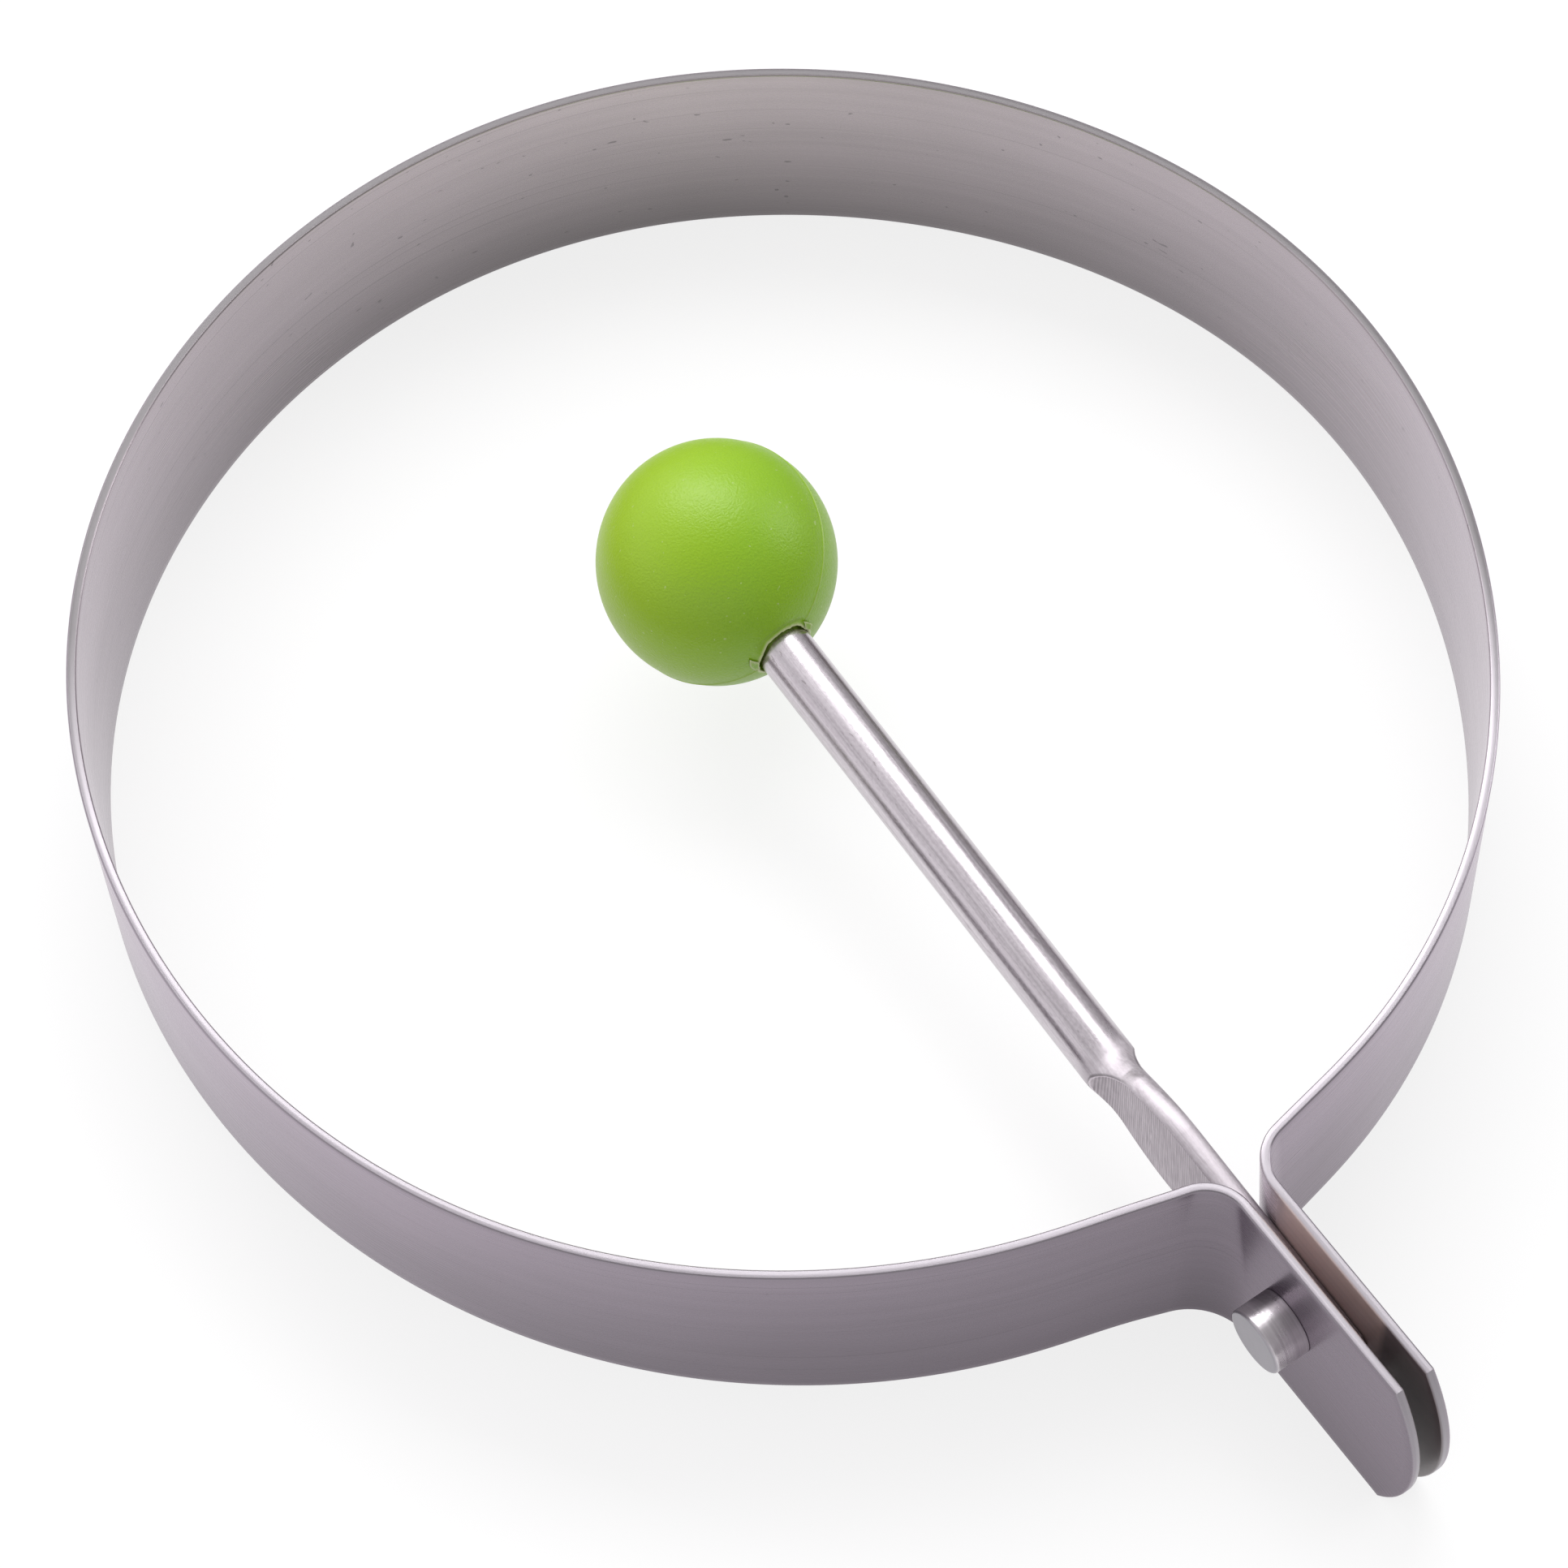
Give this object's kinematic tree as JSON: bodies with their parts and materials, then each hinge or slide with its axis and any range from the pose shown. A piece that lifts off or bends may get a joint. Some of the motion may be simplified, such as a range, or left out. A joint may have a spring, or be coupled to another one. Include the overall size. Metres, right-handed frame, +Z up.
{
  "type": "egg ring",
  "caption": "Round steel hoop for frying an egg, with a riveted rod handle that folds over or out and ends in a round plastic knob.",
  "frame": {"origin": "middle of the whole outline, on the surface that the hoop stands on", "axes": "+Z up, tail with the rivet towards -Y, the rivet's tall head on the -X leaf"},
  "size_m": [0.0892, 0.1106, 0.0203],
  "materials": {
    "brushed_stainless": "satin, brushed along the strip, rims rounded and brighter",
    "polished_stainless": "polished rod with fine lengthwise draw lines, matt die marks on the pressed flats",
    "green_plastic": "satin moulded plastic, lime green",
    "rivet_stainless": "plain turned steel"
  },
  "bodies": {
    "ring": {"ring_band": "brushed_stainless", "pivot_rivet": "rivet_stainless"},
    "handle": {"handle_rod": "polished_stainless", "ball_knob": "green_plastic"}
  },
  "joints": [
    {"name": "handle_fold", "type": "hinge", "parent": "ring", "child": "handle", "pos_m": [0.00085, -0.04319, 0.0086], "axis": [1, 0, 0], "range_deg": [-3.9, 177]}
  ]
}
